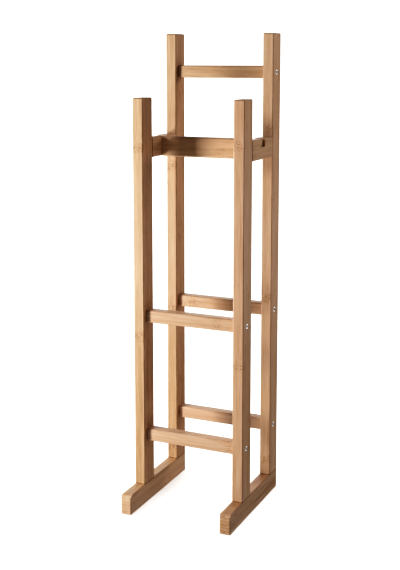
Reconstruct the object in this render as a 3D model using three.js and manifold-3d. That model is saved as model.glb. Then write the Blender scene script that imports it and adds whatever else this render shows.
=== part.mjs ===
// A free-standing bamboo towel rack.
// Two side frames (foot, short front upright, tall rear upright, notched side rail) are held apart by
// five screwed cross rails. A crossbar drops into the open notches of the side rails and lifts out.
// Millimetres. +X is the rack's right, -Y its front, +Z up. The origin is on the floor at the middle.
import * as THREE from 'three';
import { mergeVertices } from 'three/addons/utils/BufferGeometryUtils.js';
import Module from 'manifold-3d';

const wasm = await Module();
wasm.setup();

// ---------- driving dimensions ----------
const rackWidth = 210;            // across both side frames
const boardThickness = 20;        // uprights, feet and side rails, measured across the rack
const footLength = 226;
const footHeight = 36;
const toeReach = 54.5;            // from the foot's front end to the front upright
const uprightDepth = 37.5;        // front to back
const frontHeight = 734;          // tops of the uprights above the floor
const rearHeight = 846;

const railDepth = 20;             // cross rails, front to back
const railHeight = 22.5;
const lowRailCentre = 128;        // centre lines above the floor
const midRailCentre = 346.5;
const topRailCentre = 777.5;

const sideRailHeight = 36;
const sideRailTop = 664;
const notchDepth = 14.5;
const notchGap = 0.4;             // play in front of and behind the crossbar

const barHeight = 36;             // the crossbar that lifts out
const barDepth = 20;
const barTongueHeight = 13.5;     // what is left of its height where it lies in a notch
const barEndRecess = 4;           // how far its ends stop short of the outer faces
const barShoulderGap = 0.5;       // between its shoulders and the side rails

const uprightEase = 2;            // radii that ease the long edges
const topEase = 3;
const footEase = 2;
const toeRadius = 8;
const railEase = 2.5;
const barEase = 3.5;
const notchEase = 2.5;

const screwHeadDiameter = 10;
const screwHeadHeight = 4;
const screwShankDiameter = 7;
const screwThreadDiameter = 6;
const screwLength = 50;           // under the head
const screwTipLength = 4;
const screwSink = 0.6;            // head below the wood's face
const hexAcrossFlats = 5;
const hexDepth = 3;

const dowelDiameter = 8;
const footDowelLength = 36;       // upright to foot
const railDowelLength = 30;       // side rail to upright
const dowelChamfer = 1;
const footDowelSpacing = 18;      // between the two dowels of a joint
const railDowelSpacing = 18;

const fit = 0.3;                  // play all around a pin or screw in its hole
const arcSteps = 5;               // facets in a quarter of an eased edge
const roundSteps = 24;            // facets around a screw or hole
const past = 1;                   // how far a cutting tool runs past a face

// ---------- places worked out from them ----------
const footFront = -footLength / 2;
const footBack = footLength / 2;
const frontUprightFront = footFront + toeReach;
const frontUprightBack = frontUprightFront + uprightDepth;
const rearUprightFront = footBack - uprightDepth;
const outerFace = rackWidth / 2;
const innerFace = outerFace - boardThickness;
const boardMiddle = outerFace - boardThickness / 2;
const sideRailMiddle = (frontUprightBack + rearUprightFront) / 2;
const sideRailCentre = sideRailTop - sideRailHeight / 2;
const notchFloor = sideRailTop - notchDepth;
const barTop = notchFloor + barTongueHeight;
const barLength = rackWidth - 2 * barEndRecess;

// ---------- materials ----------
const bamboo = new THREE.MeshStandardMaterial({ color: 0xd9b17c, roughness: 0.5, metalness: 0 });
const railBamboo = new THREE.MeshStandardMaterial({ color: 0xcf9f68, roughness: 0.6, metalness: 0 });
const dowelWood = new THREE.MeshStandardMaterial({ color: 0xd8bd8f, roughness: 0.7, metalness: 0 });
const steel = new THREE.MeshStandardMaterial({ color: 0xc4c6c8, roughness: 0.3, metalness: 1 });

// ---------- solids ----------
function solidOf(geometry) {
  const plain = geometry.clone();
  plain.deleteAttribute('normal');
  plain.deleteAttribute('uv');
  const merged = mergeVertices(plain, 1e-4);
  return new wasm.Manifold(new wasm.Mesh({
    numProp: 3,
    vertProperties: merged.attributes.position.array,
    triVerts: Uint32Array.from(merged.index.array),
  }));
}

function geometryOf(solid) {
  const mesh = solid.getMesh();
  const geometry = new THREE.BufferGeometry();
  geometry.setAttribute('position', new THREE.BufferAttribute(mesh.vertProperties, 3));
  geometry.setIndex(new THREE.BufferAttribute(mesh.triVerts, 1));
  geometry.computeVertexNormals();
  return geometry;
}

// A rectangle about the origin with its own radius at each corner, from bottom left anticlockwise.
function easedRectangle(width, height, [bottomLeft, bottomRight, topRight, topLeft]) {
  const right = width / 2;
  const top = height / 2;
  const shape = new THREE.Shape();
  const corner = (x, y, radius, start) => {
    if (radius > 0) shape.absarc(x, y, radius, start, start + Math.PI / 2, false);
    else shape.lineTo(x, y);
  };
  shape.moveTo(-right + bottomLeft, -top);
  corner(right - bottomRight, -top + bottomRight, bottomRight, -Math.PI / 2);
  corner(right - topRight, top - topRight, topRight, 0);
  corner(-right + topLeft, top - topLeft, topLeft, Math.PI / 2);
  corner(-right + bottomLeft, -top + bottomLeft, bottomLeft, Math.PI);
  return shape;
}

// Extrudes a shape both ways from the middle, with the shape's plane seen along X, Y or Z.
function prism(shape, length, along) {
  const geometry = new THREE.ExtrudeGeometry(shape, {
    depth: length,
    bevelEnabled: false,
    curveSegments: arcSteps,
  });
  geometry.translate(0, 0, -length / 2);
  if (along === 'x') geometry.rotateZ(Math.PI / 2).rotateY(Math.PI / 2);   // shape x -> Y, shape y -> Z
  if (along === 'y') geometry.rotateX(Math.PI / 2);                        // shape x -> X, shape y -> Z
  return solidOf(geometry);
}

function box(sizeX, sizeY, sizeZ, centreX, centreY, centreZ) {
  return solidOf(new THREE.BoxGeometry(sizeX, sizeY, sizeZ).translate(centreX, centreY, centreZ));
}

// A round bar along X, Y or Z, from one end to the other, at the two other coordinates given in order.
function round(diameter, along, from, to, first, second) {
  const geometry = new THREE.CylinderGeometry(diameter / 2, diameter / 2, to - from, roundSteps);
  const middle = (from + to) / 2;
  if (along === 'x') geometry.rotateZ(Math.PI / 2).translate(middle, first, second);
  if (along === 'y') geometry.translate(first, middle, second);
  if (along === 'z') geometry.rotateX(Math.PI / 2).translate(first, second, middle);
  return solidOf(geometry);
}

function cut(solid, tools) {
  return tools.reduce((left, tool) => left.subtract(tool), solid);
}

const rack = new THREE.Group();

function place(name, solid, material) {
  const mesh = new THREE.Mesh(geometryOf(solid), material);
  mesh.name = name;
  rack.add(mesh);
}

// ---------- what is shared by the pieces that meet ----------
const sides = [
  { name: 'left', sign: -1 },
  { name: 'right', sign: 1 },
];
const uprights = [
  {
    name: 'front',
    middle: (frontUprightFront + frontUprightBack) / 2,
    top: frontHeight,
    railFace: frontUprightBack,        // the face that the side rail meets
    inward: -1,                        // from that face into the upright
    rails: [['low', lowRailCentre], ['mid', midRailCentre]],
  },
  {
    name: 'rear',
    middle: (rearUprightFront + footBack) / 2,
    top: rearHeight,
    railFace: rearUprightFront,
    inward: 1,
    rails: [['low', lowRailCentre], ['mid', midRailCentre], ['top', topRailCentre]],
  },
];
const footDowelOffsets = [-footDowelSpacing / 2, footDowelSpacing / 2];
const railDowelOffsets = [-railDowelSpacing / 2, railDowelSpacing / 2];
const dowelHole = dowelDiameter + 2 * fit;

// Holes for the dowels between foot and upright, cut alike in both.
function footDowelHoles(side, upright) {
  const reach = footDowelLength / 2 + fit;
  return footDowelOffsets.map((offset) => round(dowelHole, 'z', footHeight - reach, footHeight + reach,
    side.sign * boardMiddle, upright.middle + offset));
}

// Holes for the dowels between side rail and upright, cut alike in both.
function railDowelHoles(side, upright) {
  const reach = railDowelLength / 2 + fit;
  return railDowelOffsets.map((offset) => round(dowelHole, 'y', upright.railFace - reach,
    upright.railFace + reach, side.sign * boardMiddle, sideRailCentre + offset));
}

// Where a screw goes in: its head's seat, from the middle of the rack outwards.
const screwSeat = outerFace - screwSink - screwHeadHeight;

// ---------- feet ----------
for (const side of sides) {
  const profile = easedRectangle(footLength, footHeight, [footEase, footEase, footEase, toeRadius]);
  const section = easedRectangle(boardThickness, footHeight, [footEase, footEase, footEase, footEase]);
  const plan = easedRectangle(boardThickness, footLength, [footEase, footEase, footEase, footEase]);
  const foot = prism(profile, boardThickness, 'x')
    .intersect(prism(section, footLength, 'y'))
    .intersect(prism(plan, footHeight, 'z'))
    .translate(side.sign * boardMiddle, 0, footHeight / 2);
  place(`${side.name}_foot`, cut(foot, uprights.flatMap((upright) => footDowelHoles(side, upright))), bamboo);
}

// ---------- uprights ----------
for (const side of sides) {
  for (const upright of uprights) {
    const height = upright.top - footHeight;
    const plan = easedRectangle(boardThickness, uprightDepth,
      [uprightEase, uprightEase, uprightEase, uprightEase]);
    const fromFront = easedRectangle(boardThickness, height, [0, 0, topEase, topEase]);
    const fromSide = easedRectangle(uprightDepth, height, [0, 0, topEase, topEase]);
    const post = prism(plan, height, 'z')
      .intersect(prism(fromFront, uprightDepth, 'y'))
      .intersect(prism(fromSide, boardThickness, 'x'))
      .translate(side.sign * boardMiddle, upright.middle, footHeight + height / 2);
    const screwHoles = upright.rails.flatMap(([, centre]) => {
      const hole = (diameter, from, to) => round(diameter, 'x', Math.min(side.sign * from, side.sign * to),
        Math.max(side.sign * from, side.sign * to), upright.middle, centre);
      return [
        hole(screwShankDiameter + 2 * fit, innerFace - past, outerFace),
        hole(screwHeadDiameter + 2 * fit, screwSeat, outerFace + past),
      ];
    });
    place(`${side.name}_${upright.name}_upright`,
      cut(post, [...screwHoles, ...footDowelHoles(side, upright), ...railDowelHoles(side, upright)]), bamboo);
  }
}

// ---------- side rails, with the open notch that the crossbar drops into ----------
const sideRailLength = rearUprightFront - frontUprightBack;

function notchTool() {
  const half = barDepth / 2 + notchGap;
  const lip = sideRailHeight / 2;
  const floor = lip - notchDepth;
  const shape = new THREE.Shape();
  shape.moveTo(-half, floor);
  shape.lineTo(half, floor);
  shape.lineTo(half, lip - notchEase);
  shape.absarc(half + notchEase, lip - notchEase, notchEase, Math.PI, Math.PI / 2, true);
  shape.lineTo(half + notchEase, lip + past);
  shape.lineTo(-half - notchEase, lip + past);
  shape.lineTo(-half - notchEase, lip);
  shape.absarc(-half - notchEase, lip - notchEase, notchEase, Math.PI / 2, 0, true);
  return prism(shape, boardThickness + 2 * past, 'x');
}

for (const side of sides) {
  const section = easedRectangle(boardThickness, sideRailHeight,
    [uprightEase, uprightEase, uprightEase, uprightEase]);
  const rail = prism(section, sideRailLength, 'y')
    .subtract(notchTool())
    .translate(side.sign * boardMiddle, sideRailMiddle, sideRailCentre);
  const holes = uprights.flatMap((upright) => railDowelHoles(side, upright));
  place(`${side.name}_side_rail`, cut(rail, holes), bamboo);
}

// ---------- crossbar ----------
{
  const section = easedRectangle(barDepth, barHeight, [barEase, barEase, barEase, barEase]);
  const bar = prism(section, barLength, 'x').translate(0, sideRailMiddle, barTop - barHeight / 2);
  const shoulder = innerFace - barShoulderGap;
  const waste = outerFace - shoulder;
  const shoulders = sides.map((side) => box(waste, barDepth + 2 * past, barHeight,
    side.sign * (shoulder + waste / 2), sideRailMiddle, notchFloor - barHeight / 2));
  place('crossbar', cut(bar, shoulders), bamboo);
}

// ---------- cross rails ----------
for (const upright of uprights) {
  for (const [level, centre] of upright.rails) {
    const section = easedRectangle(railDepth, railHeight, [railEase, railEase, railEase, railEase]);
    const rail = prism(section, 2 * innerFace, 'x').translate(0, upright.middle, centre);
    const screwEnd = screwSeat - screwLength - fit;
    const holes = [
      round(screwShankDiameter + 2 * fit, 'x', -innerFace - past, -screwEnd, upright.middle, centre),
      round(screwShankDiameter + 2 * fit, 'x', screwEnd, innerFace + past, upright.middle, centre),
    ];
    place(`${upright.name}_${level}_rail`, cut(rail, holes), railBamboo);
  }
}

// ---------- screws: socket heads on plain shanks, one at each end of each cross rail ----------
function screw() {
  const head = screwHeadDiameter / 2;
  const shank = screwShankDiameter / 2;
  const thread = screwThreadDiameter / 2;
  const plain = boardThickness - screwSink - screwHeadHeight;
  const headEase = 0.6;
  const outline = [
    [0, -screwLength],
    [thread / 3, -screwLength],
    [thread, -screwLength + screwTipLength],
    [thread, -plain],
    [shank, -plain],
    [shank, 0],
    [head, 0],
    [head, screwHeadHeight - headEase],
    [head - headEase, screwHeadHeight],
    [0, screwHeadHeight],
  ].map(([radius, height]) => new THREE.Vector2(radius, height));
  const socketRadius = hexAcrossFlats / 2 / Math.cos(Math.PI / 6);
  const socket = new THREE.CylinderGeometry(socketRadius, socketRadius, hexDepth + past, 6);
  socket.translate(0, screwHeadHeight - hexDepth + (hexDepth + past) / 2, 0);
  return solidOf(new THREE.LatheGeometry(outline, roundSteps)).subtract(solidOf(socket));
}

for (const side of sides) {
  for (const upright of uprights) {
    for (const [level, centre] of upright.rails) {
      const turned = screw().rotate(0, 0, -90 * side.sign);        // the head faces outwards
      place(`${side.name}_${upright.name}_${level}_screw`,
        turned.translate(side.sign * screwSeat, upright.middle, centre), steel);
    }
  }
}

// ---------- dowels ----------
function dowel(length) {
  const radius = dowelDiameter / 2;
  const half = length / 2;
  const outline = [
    [0, -half],
    [radius - dowelChamfer, -half],
    [radius, -half + dowelChamfer],
    [radius, half - dowelChamfer],
    [radius - dowelChamfer, half],
    [0, half],
  ].map(([across, height]) => new THREE.Vector2(across, height));
  return solidOf(new THREE.LatheGeometry(outline, roundSteps));
}

for (const side of sides) {
  for (const upright of uprights) {
    footDowelOffsets.forEach((offset, index) => {
      place(`${side.name}_${upright.name}_foot_dowel_${index + 1}`, dowel(footDowelLength)
        .rotate(90, 0, 0)
        .translate(side.sign * boardMiddle, upright.middle + offset, footHeight), dowelWood);
    });
    railDowelOffsets.forEach((offset, index) => {
      place(`${side.name}_${upright.name}_rail_dowel_${index + 1}`, dowel(railDowelLength)
        .translate(side.sign * boardMiddle, upright.railFace, sideRailCentre + offset), dowelWood);
    });
  }
}

export default rack;
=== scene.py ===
# A free-standing bamboo towel rack: bamboo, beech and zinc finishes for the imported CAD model,
# a plain pale floor, soft studio light and the camera. Metres, unless a comment says millimetres.
import math

import bpy
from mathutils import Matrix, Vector


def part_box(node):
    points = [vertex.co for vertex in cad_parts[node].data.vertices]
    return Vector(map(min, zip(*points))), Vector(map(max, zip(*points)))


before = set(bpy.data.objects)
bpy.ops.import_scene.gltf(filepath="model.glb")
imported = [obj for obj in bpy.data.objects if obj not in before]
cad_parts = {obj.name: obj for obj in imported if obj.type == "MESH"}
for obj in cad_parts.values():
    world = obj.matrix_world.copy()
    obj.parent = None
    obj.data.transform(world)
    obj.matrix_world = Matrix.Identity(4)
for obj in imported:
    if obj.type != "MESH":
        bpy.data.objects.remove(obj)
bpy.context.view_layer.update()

X, Y, Z = 0, 1, 2
MM = 1000                       # millimetres in a metre


# ---------- shader graphs ----------
class Graph:
    """A material's node tree, with short calls that add a node and join its inputs."""

    def __init__(self, name):
        self.material = bpy.data.materials.new(name)
        self.material.use_nodes = True
        self.tree = self.material.node_tree
        self.tree.nodes.clear()

    def add(self, kind, inputs=None, **settings):
        node = self.tree.nodes.new(kind)
        for key, value in settings.items():
            setattr(node, key, value)
        for key, value in (inputs or {}).items():
            self.feed(node.inputs[key], value)
        return node

    def feed(self, socket, value):
        if isinstance(value, bpy.types.NodeSocket):
            self.tree.links.new(value, socket)
        else:
            socket.default_value = value

    def math(self, operation, *values):
        node = self.add("ShaderNodeMath", operation=operation)
        for socket, value in zip(node.inputs, values):
            self.feed(socket, value)
        return node.outputs[0]

    def total(self, *values):
        result = values[0]
        for value in values[1:]:
            result = self.math("ADD", result, value)
        return result

    def scaled(self, value, factor):
        return self.math("MULTIPLY", value, factor)

    def within(self, value, lowest, highest):
        """The value, held between lowest and highest."""
        return self.math("MINIMUM", self.math("MAXIMUM", value, lowest), highest)

    def fade(self, value, start, end):
        """0 where the value is at start, 1 where it is at end, smooth between."""
        node = self.add("ShaderNodeMapRange", {"Value": value, "From Min": start, "From Max": end},
                        interpolation_type="SMOOTHSTEP")
        return node.outputs["Result"]

    def vector(self, x, y, z):
        return self.add("ShaderNodeCombineXYZ", {"X": x, "Y": y, "Z": z}).outputs["Vector"]

    def noise(self, x, y, z, detail=2.0, roughness=0.5):
        """Smooth noise centred on zero, about -0.5 to 0.5. One unit of x, y or z is one wave."""
        node = self.add("ShaderNodeTexNoise",
                        {"Vector": self.vector(x, y, z), "Scale": 1.0, "Detail": detail,
                         "Roughness": roughness})
        return self.math("SUBTRACT", node.outputs["Fac"], 0.5)

    def dice(self, x, y, z):
        """Three random numbers from 0 to 1 for each whole-number place."""
        node = self.add("ShaderNodeTexWhiteNoise", {"Vector": self.vector(x, y, z)},
                        noise_dimensions="3D")
        channels = self.add("ShaderNodeSeparateColor", {"Color": node.outputs["Color"]})
        return channels.outputs["Red"], channels.outputs["Green"], channels.outputs["Blue"]

    def ramp(self, value, stops):
        node = self.add("ShaderNodeValToRGB", {"Fac": value})
        elements = node.color_ramp.elements
        while len(elements) < len(stops):
            elements.new(0.5)
        for element, (place, colour) in zip(elements, stops):
            element.position = place
            element.color = (*colour, 1)
        return node.outputs["Color"]

    def finish(self, colour, roughness, height, **uniform):
        """The surface: a Principled shader with these varying inputs and these uniform ones."""
        bump = self.add("ShaderNodeBump", {"Height": height, "Strength": 1.0, "Distance": 1 / MM})
        surface = self.add("ShaderNodeBsdfPrincipled",
                           {"Base Color": colour, "Roughness": roughness,
                            "Normal": bump.outputs["Normal"], **uniform})
        output = self.add("ShaderNodeOutputMaterial")
        self.tree.links.new(surface.outputs["BSDF"], output.inputs["Surface"])
        return self.material


def board_places(g, node, grain, stack):
    """Millimetres from the board's middle along its grain, across its strips and through its layers,
    with the board's half sizes in the same order and how squarely a face cuts the grain."""
    low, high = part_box(node)
    across = 3 - grain - stack
    coordinates = g.add("ShaderNodeTexCoord")
    centred = g.add("ShaderNodeVectorMath", {0: coordinates.outputs["Object"], 1: (low + high) / 2},
                    operation="SUBTRACT")
    scaled = g.add("ShaderNodeVectorMath", {0: centred.outputs[0], "Scale": MM}, operation="SCALE")
    axes = g.add("ShaderNodeSeparateXYZ", {0: scaled.outputs[0]}).outputs
    facing = g.add("ShaderNodeSeparateXYZ", {0: coordinates.outputs["Normal"]}).outputs
    half = (high - low) * MM / 2
    return ((axes[grain], axes[across], axes[stack]), (half[grain], half[across], half[stack]),
            g.math("ABSOLUTE", facing[grain]))


def edge_distance(g, places, halves):
    """Millimetres from a point on a board's surface to its nearest edge: the middle one of its
    distances to the three pairs of faces, because the smallest is that of the face it is on."""
    a, b, c = (g.math("SUBTRACT", half, g.math("ABSOLUTE", place))
               for place, half in zip(places, halves))
    inner = g.math("MINIMUM", g.math("MAXIMUM", a, b), c)
    return g.math("MAXIMUM", g.math("MINIMUM", a, b), inner)


# ---------- bamboo ----------
LAYER = 6.2                     # mm, a glued layer's thickness
STRIP = 19.0                    # mm, a strip's width within its layer
SKIN = 1.3                      # mm of dense, dark fibre on each layer's outer side
GLUE = 0.45                     # mm from a glued joint to where its dark line ends
SEAM_AND_SHADE = 1.8                      # mm of dark joint line and painted shade where a board's end meets its neighbour
SEAM_AND_SHADE_CORE = 0.3                 # mm of that which is fully dark
KNUCKLE_REACH = 32.0            # mm from a knuckle to where the fibres run straight again
KNOT = 9.0                      # mm from a knuckle to where its knot ends
RIM = 7.5                       # mm from a knuckle to its knot's faint outer rim
WAVER = 13.0                    # mm by which a knuckle's line wanders across its strip
EDGE_SHADE_WIDTH = 1.9                      # mm of painted shade along a board's edges

# shades from 0, dark, to 1, pale, with their linear colours
BAMBOO_TONES = (
    (0.00, (0.228, 0.097, 0.031)),
    (0.30, (0.437, 0.244, 0.115)),
    (0.60, (0.600, 0.391, 0.230)),
    (1.00, (0.722, 0.522, 0.362)),
)


def bamboo(node, grain, stack, knuckle, spacing, tone, seed):
    """Laminated bamboo. The knuckle's place is in millimetres from the board's middle along its
    grain, and the spacing is that from one knuckle to the next on the same strip. Both hold for the
    first strip of the front or lowest layer, and the others' knuckles are shifted at random."""
    g = Graph(f"bamboo_{node}")
    (along, across, through), halves, end_facing = board_places(g, node, grain, stack)
    half_length, half_width, half_depth = halves

    layers = max(1, round(2 * half_depth / LAYER))
    thickness = 2 * half_depth / layers
    strips = max(1, round(2 * half_width / STRIP))
    width = 2 * half_width / strips
    tiny = 0.001                # keeps a point on the outside within the last layer or strip
    stacked = g.within(g.scaled(g.total(through, half_depth), 1 / thickness), tiny, layers - tiny)
    sided = g.within(g.scaled(g.total(across, half_width), 1 / width), tiny, strips - tiny)
    layer = g.math("FLOOR", stacked)
    strip = g.math("FLOOR", sided)
    strip_tone, strip_shift, strip_hue = g.dice(layer, strip, seed)

    # knuckles: how far each point is from the nearest one on its own strip, in millimetres
    other_strip = g.fade(g.total(layer, strip), 0.4, 0.6)
    turns = g.scaled(g.math("SUBTRACT", along, knuckle), 1 / spacing)
    turns = g.total(turns, g.math("MULTIPLY", strip_shift, other_strip), 0.5)
    apart = g.scaled(g.math("SUBTRACT", g.math("FRACT", turns), 0.5), spacing)
    waver = g.noise(g.scaled(across, 0.14), g.scaled(through, 0.14), g.total(strip, seed), 1.0)
    apart = g.math("ABSOLUTE", g.total(apart, g.scaled(waver, WAVER)))
    near = g.fade(apart, KNUCKLE_REACH, 4.0)
    knot = g.fade(apart, KNOT, 3.5)

    # the knot's brown flecks, short and in rows across the grain, and its faint outer rim
    cells = g.add("ShaderNodeTexVoronoi",
                  {"Vector": g.vector(g.scaled(apart, 0.36), g.scaled(across, 0.62),
                                      g.total(g.scaled(through, 0.62), seed)), "Scale": 1.0})
    lot = g.add("ShaderNodeSeparateColor", {"Color": cells.outputs["Color"]}).outputs["Red"]
    fleck = g.math("MULTIPLY", g.fade(cells.outputs["Distance"], 0.48, 0.22), g.fade(lot, 0.25, 0.60))
    fleck = g.math("MULTIPLY", fleck, knot)
    rim = g.fade(g.math("ABSOLUTE", g.math("SUBTRACT", apart, RIM)), 2.2, 0.4)

    # fibres: long streaks that bend round the knuckles
    bend = g.noise(g.scaled(along, 0.035), g.scaled(across, 0.11), g.total(through, seed), 1.0)
    curl = g.noise(g.scaled(along, 0.30), g.scaled(across, 0.30), g.scaled(through, 0.30), 2.0)
    sway = g.total(g.math("MULTIPLY", bend, g.scaled(near, 16.0)),
                   g.math("MULTIPLY", curl, g.scaled(knot, 9.0)))
    bent_across = g.total(across, sway)
    bent_through = g.total(through, g.scaled(sway, 0.4))
    drift = g.total(g.scaled(layer, 7.3), g.scaled(strip, 3.1), seed)
    broad = g.noise(g.total(g.scaled(along, 0.006), drift), g.scaled(bent_across, 0.13),
                    g.scaled(bent_through, 0.13), 2.0)
    streak = g.noise(g.total(g.scaled(along, 0.018), drift), g.scaled(bent_across, 0.55),
                     g.scaled(bent_through, 0.55), 3.0, 0.6)
    fibre = g.noise(g.total(g.scaled(along, 0.07), drift), g.scaled(bent_across, 3.2),
                    g.scaled(bent_through, 3.2), 2.0, 0.6)
    dark_fibre = g.fade(fibre, 0.06, 0.22)

    # layers: the dense skin side, and the glue line at each inner joint
    depth_in_layer = g.scaled(g.math("FRACT", stacked), thickness)
    skin = g.fade(depth_in_layer, thickness - SKIN, thickness)
    joint = g.math("ROUND", stacked)
    inner_joint = g.math("MULTIPLY", g.fade(joint, 0.4, 0.6), g.fade(joint, layers - 0.4, layers - 0.6))
    to_joint = g.scaled(g.math("ABSOLUTE", g.math("SUBTRACT", stacked, joint)), thickness)
    joint_tone = g.dice(joint, seed, 5.0)[0]
    glue = g.math("MULTIPLY", g.math("MULTIPLY", g.fade(to_joint, GLUE, 0.08), inner_joint),
                  g.total(g.scaled(joint_tone, 0.7), 0.3))

    # end grain: the dark dots of the fibre bundles
    end = g.fade(end_facing, 0.55, 0.9)
    bundles = g.add("ShaderNodeTexVoronoi",
                    {"Vector": g.vector(g.scaled(across, 1.1), g.scaled(through, 1.1), drift),
                     "Scale": 1.0}).outputs["Distance"]
    dots = g.math("MULTIPLY", g.fade(bundles, 0.42, 0.16), end)

    # painted shade along the edges, and the dark line where a board's end meets its neighbour, deepened
    # into painted shade
    edge = g.total(edge_distance(g, (along, across, through), halves),
                   g.scaled(g.noise(g.scaled(along, 0.12), g.scaled(across, 0.3), through), 1.6))
    # painted shade on the eased edges
    edge_shade = g.fade(edge, EDGE_SHADE_WIDTH, 0.2)
    # a dark joint line at a board's end, widened and deepened into painted shade from the neighbouring
    # board
    seam_and_shade = 0.0
    if node.endswith("upright"):
        seam_and_shade = g.fade(along, SEAM_AND_SHADE - half_length, SEAM_AND_SHADE_CORE - half_length)
    if node.endswith("rail"):
        seam_and_shade = g.fade(g.math("ABSOLUTE", along), half_length - SEAM_AND_SHADE, half_length - SEAM_AND_SHADE_CORE)

    shade = g.total(
        tone,
        g.scaled(g.math("SUBTRACT", strip_tone, 0.5), 0.13),
        g.scaled(broad, 0.48),
        g.scaled(streak, 0.70),
        g.scaled(fibre, 0.20),
        g.scaled(dark_fibre, -0.12),
        g.scaled(skin, -0.10),
        g.scaled(glue, -0.30),
        g.math("MULTIPLY", knot, g.total(g.scaled(curl, 0.55), -0.03)),
        g.scaled(fleck, -0.46),
        g.math("MULTIPLY", rim, g.total(g.scaled(curl, 0.25), -0.04)),
        g.scaled(dots, -0.12),
        g.scaled(edge_shade, -0.18),
        g.scaled(seam_and_shade, -0.50),
        g.scaled(end, -0.16 if grain == Z else 0.0),
    )
    colour = g.ramp(shade, BAMBOO_TONES)
    warmer = g.add("ShaderNodeHueSaturation",
                   {"Hue": g.total(0.494, g.scaled(strip_hue, 0.010)), "Color": colour})
    roughness = g.total(0.40, g.scaled(streak, 0.12), g.scaled(fibre, 0.10), g.scaled(end, 0.14),
                        g.scaled(edge_shade, 0.05))
    height = g.total(g.scaled(fibre, 0.05), g.scaled(streak, 0.06), g.scaled(glue, -0.05),
                     g.scaled(knot, 0.05), g.scaled(fleck, -0.05), g.scaled(dots, -0.06),
                     g.math("MULTIPLY", knot, g.scaled(curl, 0.25)))
    return g.finish(warmer.outputs["Color"], roughness, height,
                    **{"Coat Weight": 0.22, "Coat Roughness": 0.22, "Specular IOR Level": 0.5})


# node: grain axis, stacking axis, the first strip's knuckle and its spacing in mm, tone
BOARDS = {
    "left_foot": (Y, Z, -60, 265, 0.68),
    "right_foot": (Y, Z, 40, 250, 0.46),
    "left_front_upright": (Z, Y, 262, 337, 0.47),
    "right_front_upright": (Z, Y, 271, 378, 0.60),
    "left_rear_upright": (Z, Y, 165, 272, 0.44),
    "right_rear_upright": (Z, Y, -377, 306, 0.70),
    "left_side_rail": (Y, Z, 90, 240, 0.56),
    "right_side_rail": (Y, Z, -100, 260, 0.58),
    "crossbar": (X, Y, 27, 290, 0.52),
    "front_low_rail": (X, Y, 74, 270, 0.69),
    "front_mid_rail": (X, Y, 52, 300, 0.68),
    "rear_low_rail": (X, Y, 110, 280, 0.73),
    "rear_mid_rail": (X, Y, -56, 310, 0.62),
    "rear_top_rail": (X, Y, -120, 260, 0.42),
}


# ---------- beech pegs and zinc-plated screws ----------
BEECH_TONES = (
    (0.0, (0.330, 0.190, 0.100)),
    (0.5, (0.560, 0.390, 0.240)),
    (1.0, (0.680, 0.510, 0.340)),
)


def beech(node, grain, seed):
    """Pale beech with short dark flecks along the grain and fluted by its milling."""
    g = Graph(f"beech_{node}")
    (along, across, through), _, end_facing = board_places(g, node, grain, (grain + 1) % 3)
    figure = g.noise(g.total(g.scaled(along, 0.05), seed), g.scaled(across, 0.5),
                     g.scaled(through, 0.5), 3.0)
    fleck = g.fade(g.noise(g.total(g.scaled(along, 0.5), seed), g.scaled(across, 3.0),
                           g.scaled(through, 3.0), 1.0), 0.14, 0.24)
    end = g.fade(end_facing, 0.6, 0.9)
    shade = g.total(0.6, g.scaled(figure, 0.5), g.scaled(fleck, -0.25), g.scaled(end, -0.12))
    roughness = g.total(0.62, g.scaled(figure, 0.1))
    height = g.total(g.scaled(figure, 0.05), g.scaled(fleck, -0.04))
    return g.finish(g.ramp(shade, BEECH_TONES), roughness, height)


ZINC_TONES = (
    (0.0, (0.030, 0.028, 0.026)),
    (0.3, (0.420, 0.405, 0.375)),
    (0.6, (0.660, 0.645, 0.610)),
    (1.0, (0.800, 0.790, 0.760)),
)
SOCKET_SHADE_RADIUS = 3.1              # mm from a screw's axis to where the painted shade in its socket ends
HEAD_START = 20.0               # mm from a screw's middle to where the painted socket shade sets in
HEAD_FULL = 23.0                # and to where it is full


def zinc(node, seed):
    """Bright zinc plating: a faint crystal mottle, fine turning marks, and painted shade in the socket.
    """
    g = Graph(f"zinc_{node}")
    (along, across, through), _, _ = board_places(g, node, X, Y)
    mottle = g.noise(g.scaled(along, 0.6), g.scaled(across, 0.6), g.total(g.scaled(through, 0.6), seed),
                     3.0)
    grain = g.noise(g.scaled(along, 9.0), g.scaled(across, 9.0), g.scaled(through, 9.0), 2.0)
    radius = g.math("SQRT", g.total(g.math("POWER", across, 2.0), g.math("POWER", through, 2.0)))
    outer = g.fade(g.math("ABSOLUTE", along), HEAD_START, HEAD_FULL)
    # painted shade in the hex socket, a recess
    socket_shade = g.math("MULTIPLY", g.fade(radius, SOCKET_SHADE_RADIUS, SOCKET_SHADE_RADIUS - 0.6), outer)
    shade = g.total(0.80, g.scaled(mottle, 0.4), g.scaled(grain, 0.2), g.scaled(socket_shade, -0.75))
    roughness = g.total(0.34, g.scaled(mottle, 0.18), g.scaled(grain, 0.12), g.scaled(socket_shade, 0.3))
    height = g.total(g.scaled(grain, 0.012), g.scaled(mottle, 0.02))
    return g.finish(g.ramp(shade, ZINC_TONES), roughness, height, Metallic=1.0)


def longest_axis(node):
    low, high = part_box(node)
    size = high - low
    return max((X, Y, Z), key=lambda axis: size[axis])


def dress():
    """Gives every CAD node its finish."""
    for number, (name, thing) in enumerate(sorted(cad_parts.items())):
        if name in BOARDS:
            material = bamboo(name, *BOARDS[name], seed=number * 3.7)
        elif "dowel" in name:
            material = beech(name, longest_axis(name), seed=number * 2.3)
        else:
            material = zinc(name, seed=number * 1.9)
        for place in thing.material_slots:
            place.material = material


dress()


# ---------- floor and surroundings ----------
FLOOR_SIDE = 60.0


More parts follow.
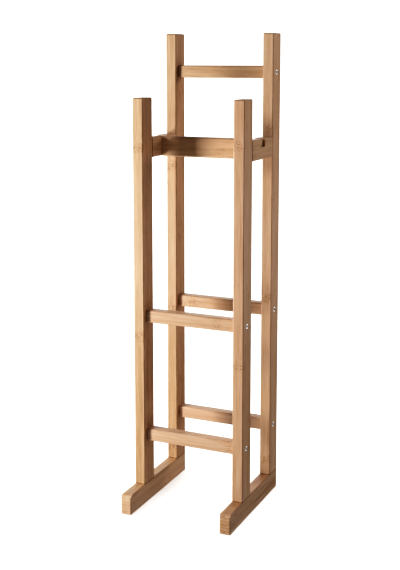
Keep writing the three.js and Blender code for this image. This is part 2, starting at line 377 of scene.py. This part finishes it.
def floor():
    """A plain pale floor. It takes shadows, and the even light of the surroundings stands in for
    what a real one would throw back at the rack."""
    bpy.ops.mesh.primitive_plane_add(size=FLOOR_SIDE)
    plane = bpy.context.object
    plane.name = "studio_floor"
    g = Graph("pale_floor")
    surface = g.add("ShaderNodeBsdfDiffuse", {"Color": (0.93, 0.93, 0.925, 1)})
    output = g.add("ShaderNodeOutputMaterial")
    g.tree.links.new(surface.outputs["BSDF"], output.inputs["Surface"])
    plane.data.materials.append(g.material)
    plane.visible_diffuse = False
    plane.visible_glossy = False
    return plane


# directions as places on the room's ramp, from 0 straight down to 1 straight up
BELOW_FULL = 0.22
BELOW_GONE = 0.30
ABOVE_GONE = 0.70
ABOVE_FULL = 0.78


def surroundings(above, below, backdrop):
    """The room: a little light from high above, more thrown up by the floor, nothing from level with
    the rack, and a pale backdrop that only the camera sees."""
    world = bpy.data.worlds.new("studio")
    bpy.context.scene.world = world
    world.use_nodes = True
    tree = world.node_tree
    tree.nodes.clear()
    coordinates = tree.nodes.new("ShaderNodeTexCoord")
    split = tree.nodes.new("ShaderNodeSeparateXYZ")
    tree.links.new(coordinates.outputs["Generated"], split.inputs[0])
    level = tree.nodes.new("ShaderNodeValToRGB")
    level.color_ramp.elements[0].color = (below, below, below, 1)
    level.color_ramp.elements[1].color = (above, above, above, 1)
    for place in (BELOW_GONE, ABOVE_GONE):
        level.color_ramp.elements.new(place).color = (0, 0, 0, 1)
    level.color_ramp.elements[0].position = BELOW_FULL
    level.color_ramp.elements[3].position = ABOVE_FULL
    height = tree.nodes.new("ShaderNodeMapRange")
    height.inputs["From Min"].default_value = -1
    tree.links.new(split.outputs["Z"], height.inputs["Value"])
    tree.links.new(height.outputs["Result"], level.inputs["Fac"])
    room = tree.nodes.new("ShaderNodeBackground")
    tree.links.new(level.outputs["Color"], room.inputs["Color"])
    paper = tree.nodes.new("ShaderNodeBackground")
    paper.inputs["Color"].default_value = (1, 1, 1, 1)
    paper.inputs["Strength"].default_value = backdrop
    sight = tree.nodes.new("ShaderNodeLightPath")
    choose = tree.nodes.new("ShaderNodeMixShader")
    tree.links.new(sight.outputs["Is Camera Ray"], choose.inputs["Fac"])
    tree.links.new(room.outputs[0], choose.inputs[1])
    tree.links.new(paper.outputs[0], choose.inputs[2])
    output = tree.nodes.new("ShaderNodeOutputWorld")
    tree.links.new(choose.outputs[0], output.inputs["Surface"])


# ---------- lights ----------
WHITE = (1.0, 1.0, 1.0)
COOL = (0.98, 1.0, 1.06)        # the key's tint, a little blue
PINK = (1.0, 0.965, 0.99)       # the right rear lamps' tint, a little less green


def softbox(name, plane, turn, distance, bottom, top, width, brightness, tint=WHITE, only=None):
    """An upright softbox that faces the rack. Its turn is in degrees round the rack: 0 is in front
    of it and 90 at its right. Its brightness is its radiance, whatever its size. It lights only the
    things given, or else everything but the floor, which its own wash keeps near white."""
    light = bpy.data.lights.new(name, "AREA")
    light.shape = "RECTANGLE"
    light.size = width
    light.size_y = top - bottom
    light.energy = brightness * math.pi * width * (top - bottom)
    light.color = tint
    lamp = bpy.data.objects.new(name, light)
    angle = math.radians(turn)
    lamp.location = (distance * math.sin(angle), -distance * math.cos(angle), (top + bottom) / 2)
    inwards = Vector((-math.sin(angle), math.cos(angle), 0))
    lamp.rotation_euler = inwards.to_track_quat("-Z", "Y").to_euler()
    lamp.visible_camera = False
    bpy.context.scene.collection.objects.link(lamp)
    if only:
        light_only(lamp, only)
    else:
        light_only(lamp, [plane], "EXCLUDE")


def light_only(lamp, things, state="INCLUDE"):
    """Makes a lamp light only these things, or with EXCLUDE everything but them."""
    linked = bpy.data.collections.new(f"{lamp.name}_receivers")
    for thing in things:
        linked.objects.link(thing)
    for entry in linked.collection_objects:
        entry.light_linking.link_state = state
    lamp.light_linking.receiver_collection = linked


FLOOR_WASH_SPREAD = 100         # degrees, so that its shadows have no edge


def floor_wash(plane, strength):
    """Wide soft light from straight above that reaches only the floor."""
    light = bpy.data.lights.new("floor_wash", "SUN")
    light.energy = strength
    light.angle = math.radians(FLOOR_WASH_SPREAD)
    lamp = bpy.data.objects.new("floor_wash", light)
    lamp.location = (0, 0, 3)
    bpy.context.scene.collection.objects.link(lamp)
    light_only(lamp, [plane])


plane = floor()
surroundings(above=0.20, below=1.30, backdrop=1.4)
floor_wash(plane, strength=5.5)

# the key, from the left front: two boxes one above the other, and a higher one farther off
softbox("key_foot", plane, -49, 1.2, bottom=0.0, top=0.35, width=0.30, brightness=31, tint=COOL)
softbox("key_middle", plane, -49, 1.2, bottom=0.35, top=1.05, width=0.30, brightness=8, tint=COOL)
softbox("key_top", plane, -49, 2.2, bottom=1.2, top=1.8, width=0.56, brightness=22, tint=COOL)

# fill from behind on both sides
softbox("left_rear", plane, -110, 1.6, bottom=0.0, top=0.5, width=0.8, brightness=10)
softbox("right_rear", plane, 130, 1.6, bottom=0.0, top=0.5, width=0.8, brightness=3.3, tint=PINK)
softbox("right_rear_top", plane, 130, 1.6, bottom=1.0, top=1.6, width=0.8, brightness=7.2, tint=PINK)

# behind the rack: it reaches no upright face that the camera sees, but gives the level ones a sheen
softbox("back_card", plane, -156, 2.0, bottom=0.5, top=1.6, width=1.6, brightness=1.3)

# pale cards behind each side, for the bright screw heads to mirror
screws = [thing for name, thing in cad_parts.items() if name.endswith("screw")]
for name, turn in (("card_right", 155), ("card_left", -155)):
    softbox(name, plane, turn, 1.6, bottom=-0.8, top=1.0, width=1.2, brightness=1.5, only=screws)


# ---------- camera ----------
def make_camera():
    """The photograph's view: from the rack's right front, a little above its top, tilted down."""
    camera = bpy.data.cameras.new("camera")
    camera.sensor_width = 36.0  # mm, as is the lens
    camera.lens = 65.1
    camera.shift_y = -0.154     # as a share of the picture's longer side
    holder = bpy.data.objects.new("camera", camera)
    holder.location = (0.741, -1.6395, 0.803)
    dip = 7.72                  # degrees below level
    turn = 24.39                # degrees from straight ahead towards the rack's left
    holder.rotation_euler = (math.radians(90 - dip), 0, math.radians(turn))
    bpy.context.scene.collection.objects.link(holder)
    bpy.context.scene.camera = holder


CONTRAST = 0.65                 # 0 leaves the picture as it is, 1 bends it fully
BIAS = 1.20                     # above 1, more levels count as dark
CURVE_STEPS = 8
DISPLAY_GAMMA = 2.2             # the curve works on linear levels, the formula on display levels


def contrasted(level):
    """A display level from 0 to 1, with dark levels lowered and light ones raised."""
    bent = level ** BIAS
    return level + CONTRAST * (bent * bent * (3 - 2 * bent) - level)


def develop(view):
    """The picture's colour handling: plain sRGB with a gentle contrast curve."""
    view.view_transform = "Standard"
    view.use_curve_mapping = True
    curve = view.curve_mapping.curves[3]
    while len(curve.points) < CURVE_STEPS + 1:
        curve.points.new(0.5, 0.5)
    for step, point in enumerate(curve.points):
        level = step / CURVE_STEPS
        point.location = (level ** DISPLAY_GAMMA, contrasted(level) ** DISPLAY_GAMMA)
    view.curve_mapping.update()


make_camera()
develop(bpy.context.scene.view_settings)
